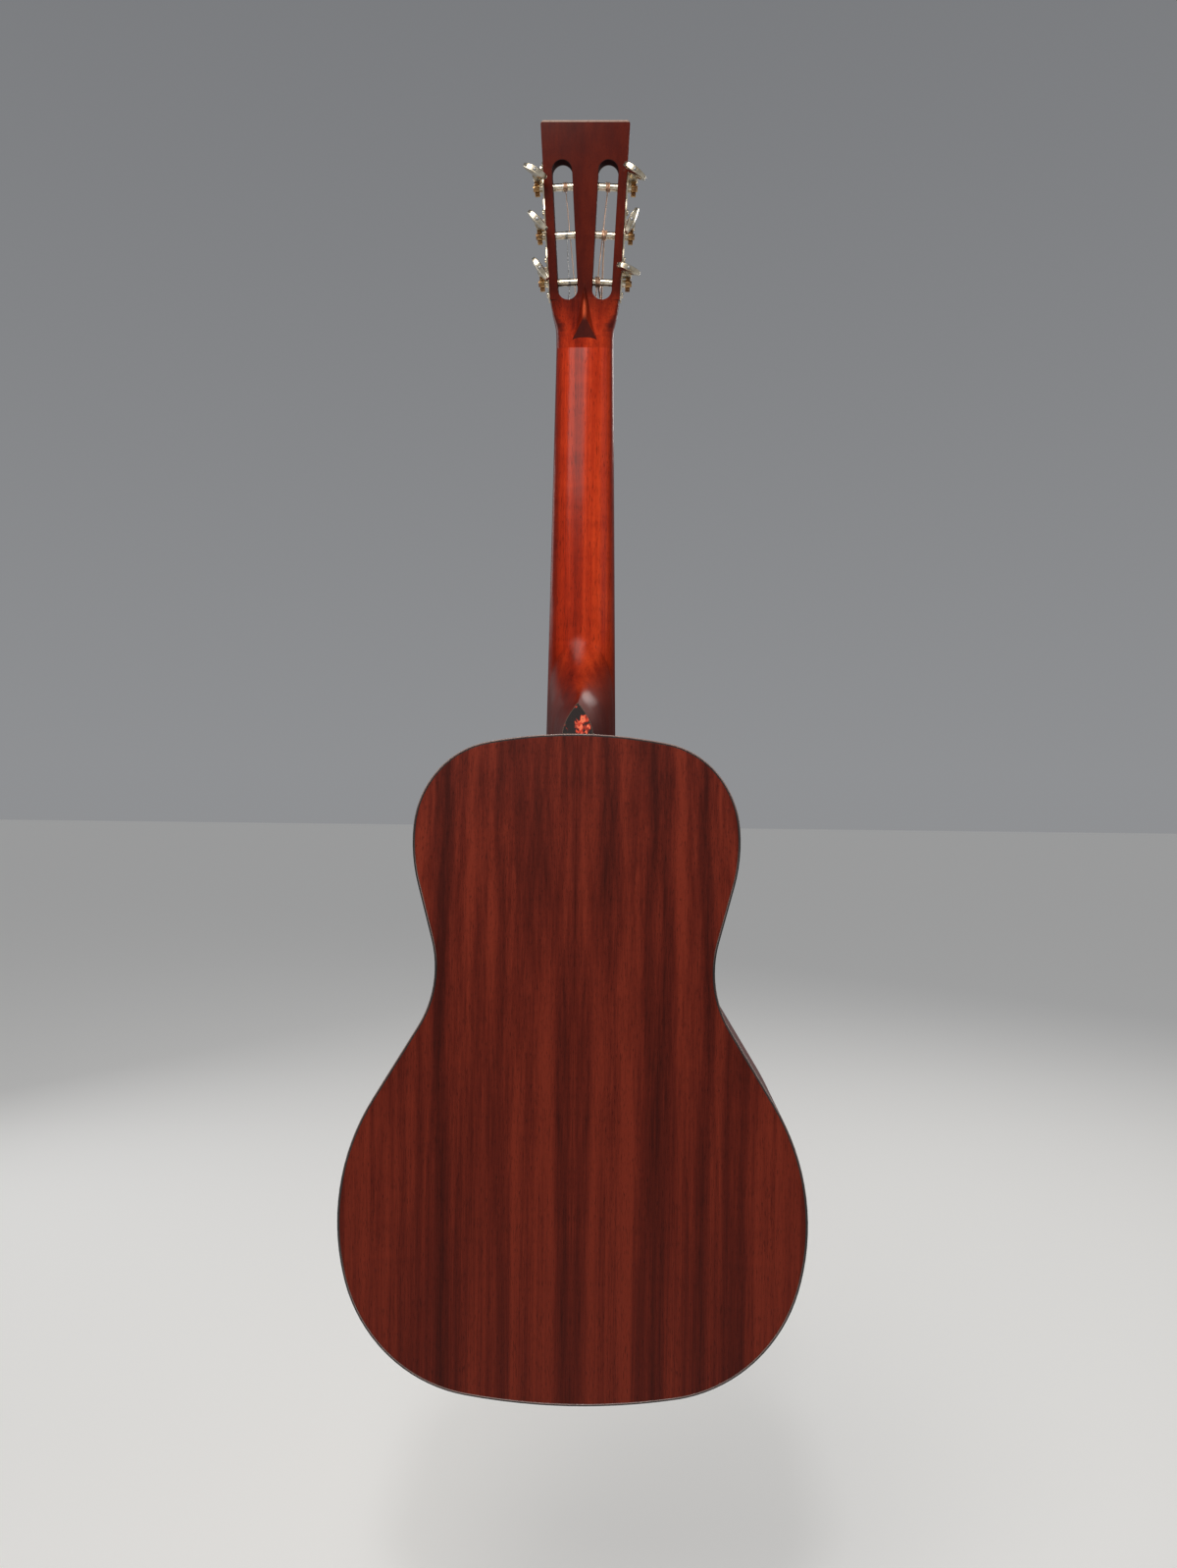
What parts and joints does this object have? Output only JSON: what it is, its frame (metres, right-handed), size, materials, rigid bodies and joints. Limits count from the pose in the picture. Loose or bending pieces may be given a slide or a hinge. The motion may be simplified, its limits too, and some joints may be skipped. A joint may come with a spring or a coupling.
{
  "type": "acoustic guitar",
  "caption": "Small-bodied steel-string acoustic guitar with a slotted head, worm-geared tuning machines that turn the string rollers, and a hollow braced body.",
  "frame": {"origin": "centre line of the guitar, on the plane of the soundboard's outer face, at the top edge of the body where the neck joins it", "axes": "+Z along the neck towards the head, +Y out of the soundboard (the strings' side), -Y out of the back, +X the bass side"},
  "size_m": [0.3414, 0.1212, 0.9686],
  "materials": {
    "spruce_top": "satin",
    "brace_spruce": "raw",
    "mahogany_body": "satin",
    "mahogany_block": "raw",
    "mahogany_neck": "gloss",
    "ebony": "oiled",
    "rosewood": "gloss",
    "binding_black": "gloss",
    "tortoise": "gloss",
    "ring_inlay": "gloss",
    "pearl": "gloss",
    "bone": "polished",
    "fret_metal": "polished",
    "nickel": "polished",
    "gear_brass": "satin",
    "steel": "satin",
    "plain_steel": "polished",
    "bronze": "wound"
  },
  "bodies": {
    "guitar": {"soundboard": "spruce_top", "rosette": "ring_inlay", "back_bass_half": "mahogany_body", "back_treble_half": "mahogany_body", "top_binding": "binding_black", "back_binding": "binding_black", "side_bass": "mahogany_body", "side_treble": "mahogany_body", "neck_block": "mahogany_block", "tail_block": "mahogany_block", "kerfed_linings": "mahogany_block", "x_braces": "brace_spruce", "tone_bars": "brace_spruce", "finger_braces": "brace_spruce", "transverse_brace": "brace_spruce", "bridge_plate": "mahogany_block", "back_braces": "brace_spruce", "back_seam_strips": "brace_spruce", "neck": "mahogany_neck", "head_veneer": "rosewood", "heel_cap": "tortoise", "truss_rod": "steel", "fretboard": "ebony", "frets": "fret_metal", "fret_dots": "pearl", "plain_strings": "plain_steel", "wound_strings": "bronze", "nut": "bone", "bridge": "ebony", "saddle": "bone", "bridge_pins": "bone", "end_pin": "ebony", "pickguard": "tortoise", "tuner_plate_bass": "nickel", "tuner_plate_treble": "nickel", "tuner_screws": "nickel"},
    "key_1": {"tuner_button_1": "nickel", "worm_shaft_1": "nickel"},
    "roller_1": {"string_roller_1": "nickel", "worm_gear_1": "gear_brass"},
    "key_2": {"tuner_button_2": "nickel", "worm_shaft_2": "nickel"},
    "roller_2": {"string_roller_2": "nickel", "worm_gear_2": "gear_brass"},
    "key_3": {"tuner_button_3": "nickel", "worm_shaft_3": "nickel"},
    "roller_3": {"string_roller_3": "nickel", "worm_gear_3": "gear_brass"},
    "key_4": {"tuner_button_4": "nickel", "worm_shaft_4": "nickel"},
    "roller_4": {"string_roller_4": "nickel", "worm_gear_4": "gear_brass"},
    "key_5": {"tuner_button_5": "nickel", "worm_shaft_5": "nickel"},
    "roller_5": {"string_roller_5": "nickel", "worm_gear_5": "gear_brass"},
    "key_6": {"tuner_button_6": "nickel", "worm_shaft_6": "nickel"},
    "roller_6": {"string_roller_6": "nickel", "worm_gear_6": "gear_brass"}
  },
  "joints": [
    {"name": "key_1_turn", "type": "hinge", "parent": "guitar", "child": "key_1", "pos_m": [-0.03417, -0.02135, 0.3656], "axis": [0, 0.9659, 0.2588], "continuous": true},
    {"name": "roller_1_turn", "type": "hinge", "parent": "guitar", "child": "roller_1", "pos_m": [-0.02818, -0.01943, 0.35845], "axis": [0.9986, -0.0135, 0.0506], "continuous": true},
    {"name": "key_2_turn", "type": "hinge", "parent": "guitar", "child": "key_2", "pos_m": [-0.03596, -0.03015, 0.39844], "axis": [0, 0.9659, 0.2588], "continuous": true},
    {"name": "roller_2_turn", "type": "hinge", "parent": "guitar", "child": "roller_2", "pos_m": [-0.02996, -0.02823, 0.3913], "axis": [0.9986, -0.0135, 0.0506], "continuous": true},
    {"name": "key_3_turn", "type": "hinge", "parent": "guitar", "child": "key_3", "pos_m": [-0.03774, -0.03895, 0.43128], "axis": [0, 0.9659, 0.2588], "continuous": true},
    {"name": "roller_3_turn", "type": "hinge", "parent": "guitar", "child": "roller_3", "pos_m": [-0.03174, -0.03703, 0.42414], "axis": [0.9986, -0.0135, 0.0506], "continuous": true},
    {"name": "key_4_turn", "type": "hinge", "parent": "guitar", "child": "key_4", "pos_m": [0.03774, -0.03895, 0.43128], "axis": [0, 0.9659, 0.2588], "continuous": true},
    {"name": "roller_4_turn", "type": "hinge", "parent": "guitar", "child": "roller_4", "pos_m": [0.03174, -0.03703, 0.42414], "axis": [0.9986, 0.0135, -0.0506], "continuous": true},
    {"name": "key_5_turn", "type": "hinge", "parent": "guitar", "child": "key_5", "pos_m": [0.03596, -0.03015, 0.39844], "axis": [0, 0.9659, 0.2588], "continuous": true},
    {"name": "roller_5_turn", "type": "hinge", "parent": "guitar", "child": "roller_5", "pos_m": [0.02996, -0.02823, 0.3913], "axis": [0.9986, 0.0135, -0.0506], "continuous": true},
    {"name": "key_6_turn", "type": "hinge", "parent": "guitar", "child": "key_6", "pos_m": [0.03417, -0.02135, 0.3656], "axis": [0, 0.9659, 0.2588], "continuous": true},
    {"name": "roller_6_turn", "type": "hinge", "parent": "guitar", "child": "roller_6", "pos_m": [0.02818, -0.01943, 0.35845], "axis": [0.9986, 0.0135, -0.0506], "continuous": true}
  ],
  "couplings": [
    {"joint": "roller_1_turn", "follows": "key_1_turn", "ratio": 0.071429},
    {"joint": "roller_2_turn", "follows": "key_2_turn", "ratio": 0.071429},
    {"joint": "roller_3_turn", "follows": "key_3_turn", "ratio": 0.071429},
    {"joint": "roller_4_turn", "follows": "key_4_turn", "ratio": 0.071429},
    {"joint": "roller_5_turn", "follows": "key_5_turn", "ratio": 0.071429},
    {"joint": "roller_6_turn", "follows": "key_6_turn", "ratio": 0.071429}
  ]
}
